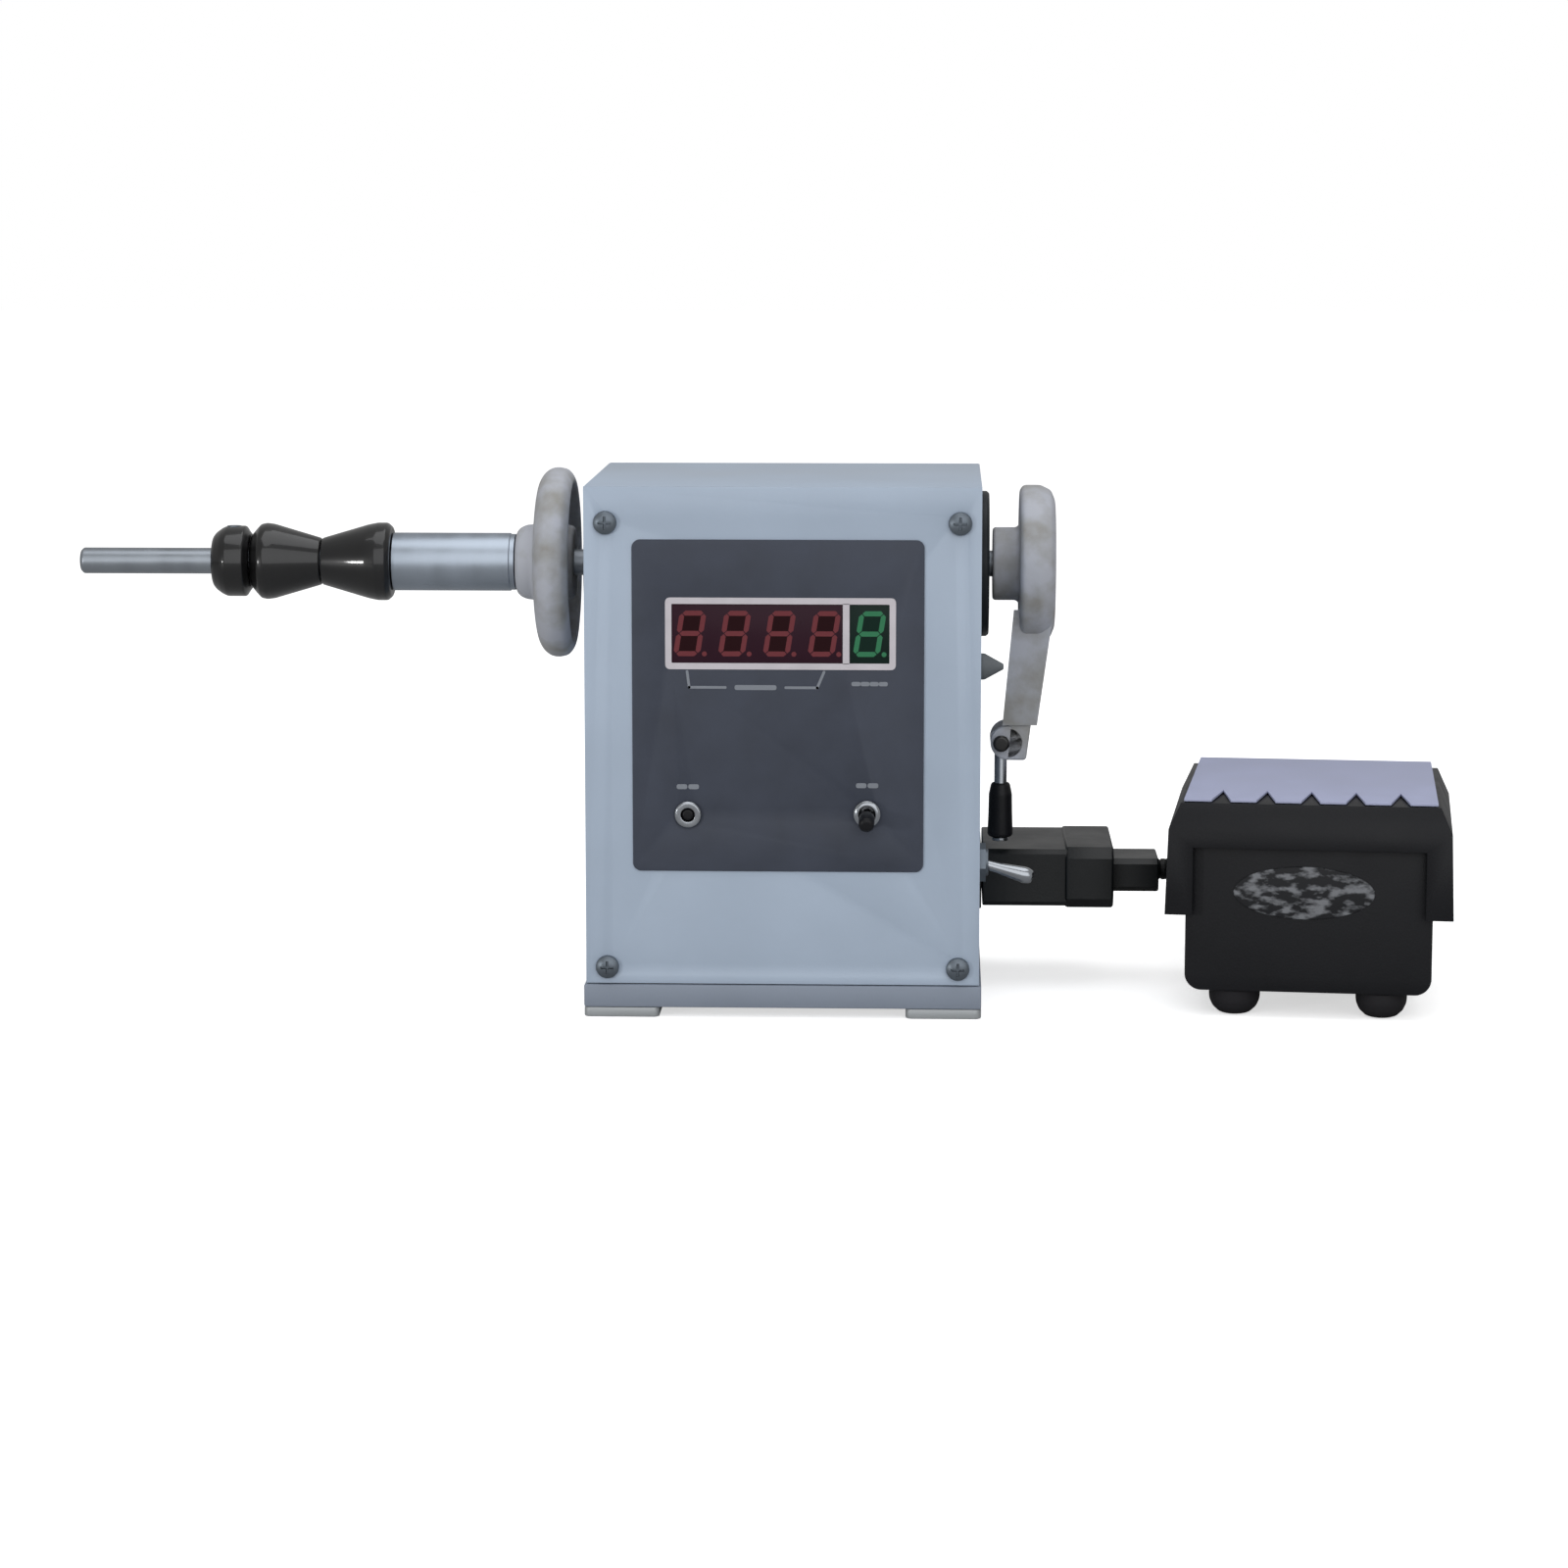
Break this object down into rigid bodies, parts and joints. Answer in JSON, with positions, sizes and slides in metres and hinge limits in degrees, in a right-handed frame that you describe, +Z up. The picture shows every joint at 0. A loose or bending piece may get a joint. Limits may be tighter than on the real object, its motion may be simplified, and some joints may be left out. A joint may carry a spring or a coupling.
{
  "type": "coil winder",
  "caption": "Bench coil winder: clamping cones on a spindle, hand wheel, fold-away crank, turn counter in a sheet-metal case, and a foot pedal on a lead.",
  "frame": {"origin": "bottom centre, on the bench, of the box around the winder and its pedal, without the lead, its plug and its strain relief", "axes": "+X runs along the spindle from the clamping cones to the crank and the pedal, +Y is the rear of the case, +Z is up"},
  "size_m": [0.4273, 0.1888, 0.1618],
  "materials": {
    "case_paint": "pale blue-grey enamel",
    "overlay": "dark slate printed polyester",
    "red_lens": "dark red clear acrylic",
    "green_lens": "dark green clear acrylic",
    "black_plastic": "moulded black",
    "blackened_steel": "blackened and polished",
    "bright_steel": "ground and plated",
    "zinc_screw": "zinc plated",
    "cast_iron": "cast and fettled",
    "tread": "pale blue-grey, ribbed",
    "rubber": "black moulded",
    "circuit_board": "green lacquered laminate",
    "copper_winding": "varnished copper winding in a laminated core",
    "cord_jacket": "black vinyl jacket"
  },
  "bodies": {
    "root": {"case_base": "case_paint", "foot_left": "case_paint", "foot_right": "case_paint", "case_shell": "case_paint", "front_panel": "case_paint", "rear_panel": "case_paint", "front_screw_1": "zinc_screw", "front_screw_2": "zinc_screw", "front_screw_3": "zinc_screw", "front_screw_4": "zinc_screw", "mains_inlet": "black_plastic", "side_bumper": "rubber", "panel_overlay": "overlay", "red_window": "red_lens", "green_window": "green_lens", "red_digits": "red_lens", "green_digit": "green_lens", "display_board": "circuit_board", "reset_switch_body": "bright_steel", "mode_switch_body": "bright_steel", "power_switch_body": "bright_steel", "left_bearing": "bright_steel", "right_bearing": "blackened_steel", "drive_belt": "rubber", "motor_can": "bright_steel", "motor_bracket": "bright_steel", "transformer": "copper_winding", "control_board": "circuit_board", "count_sensor": "black_plastic", "pedal_tray": "black_plastic", "pedal_foot_1": "rubber", "pedal_foot_2": "rubber", "pedal_foot_3": "rubber", "pedal_foot_4": "rubber", "pedal_hinge_pin": "bright_steel", "pedal_spring": "bright_steel", "strain_relief": "rubber", "pedal_socket": "black_plastic", "plug": "black_plastic", "cord_plug_side": "cord_jacket", "cord_coil": "cord_jacket", "cord_pedal_side": "cord_jacket"},
    "spindle": {"spindle_shaft": "bright_steel", "hand_wheel": "cast_iron", "sleeve_tube": "bright_steel", "inner_cone": "blackened_steel", "spindle_pulley": "black_plastic", "count_disc": "black_plastic", "crank": "cast_iron", "grip_pivot_pin": "blackened_steel"},
    "outer_clamp": {"outer_cone": "blackened_steel", "lock_collar": "blackened_steel"},
    "folding_stem": {"grip_stem": "bright_steel"},
    "grip_sleeve": {"grip": "black_plastic"},
    "motor_rotor": {"motor_shaft": "bright_steel"},
    "reset_key": {"reset_button": "black_plastic"},
    "mode_toggle": {"mode_lever": "black_plastic"},
    "power_toggle": {"power_lever": "bright_steel"},
    "pedal_top": {"pedal_lid": "black_plastic", "pedal_tread": "tread"}
  },
  "joints": [
    {"name": "spindle_spin", "type": "hinge", "parent": "root", "child": "spindle", "pos_m": [0.005, 0.005, 0.1325], "axis": [1, 0, 0], "continuous": true},
    {"name": "motor_spin", "type": "hinge", "parent": "root", "child": "motor_rotor", "pos_m": [0.005, 0.019, 0.05], "axis": [1, 0, 0], "continuous": true},
    {"name": "clamp_slide", "type": "slide", "parent": "spindle", "child": "outer_clamp", "axis": [-1, 0, 0], "range_m": [0, 0.038]},
    {"name": "grip_fold", "type": "hinge", "parent": "spindle", "child": "folding_stem", "pos_m": [0.0707, 0.005, 0.078], "axis": [0, -1, 0], "range_deg": [0, 90]},
    {"name": "grip_spin", "type": "hinge", "parent": "folding_stem", "child": "grip_sleeve", "pos_m": [0.0707, 0.005, 0.056], "axis": [0, 0, 1], "continuous": true},
    {"name": "reset_press", "type": "slide", "parent": "root", "child": "reset_key", "axis": [0, 1, 0], "range_m": [0, 0.0012], "stiffness_N_per_m": 500, "springref_m": -0.002},
    {"name": "mode_flip", "type": "hinge", "parent": "root", "child": "mode_toggle", "pos_m": [0.0303, -0.046, 0.0624], "axis": [-1, 0, 0], "range_deg": [0, 20]},
    {"name": "power_flip", "type": "hinge", "parent": "root", "child": "power_toggle", "pos_m": [0.0632, -0.037, 0.0465], "axis": [0, -1, 0], "range_deg": [0, 30]},
    {"name": "pedal_press", "type": "hinge", "parent": "root", "child": "pedal_top", "pos_m": [0.16994, 0.03058, 0.044], "axis": [0.9945, -0.1045, 0], "range_deg": [0, 5.5], "stiffness_Nm_per_rad": 6, "springref_deg": -8.02, "deforming": ["pedal_spring"]}
  ],
  "couplings": [
    {"joint": "motor_spin", "follows": "spindle_spin", "ratio": 2.6901}
  ]
}
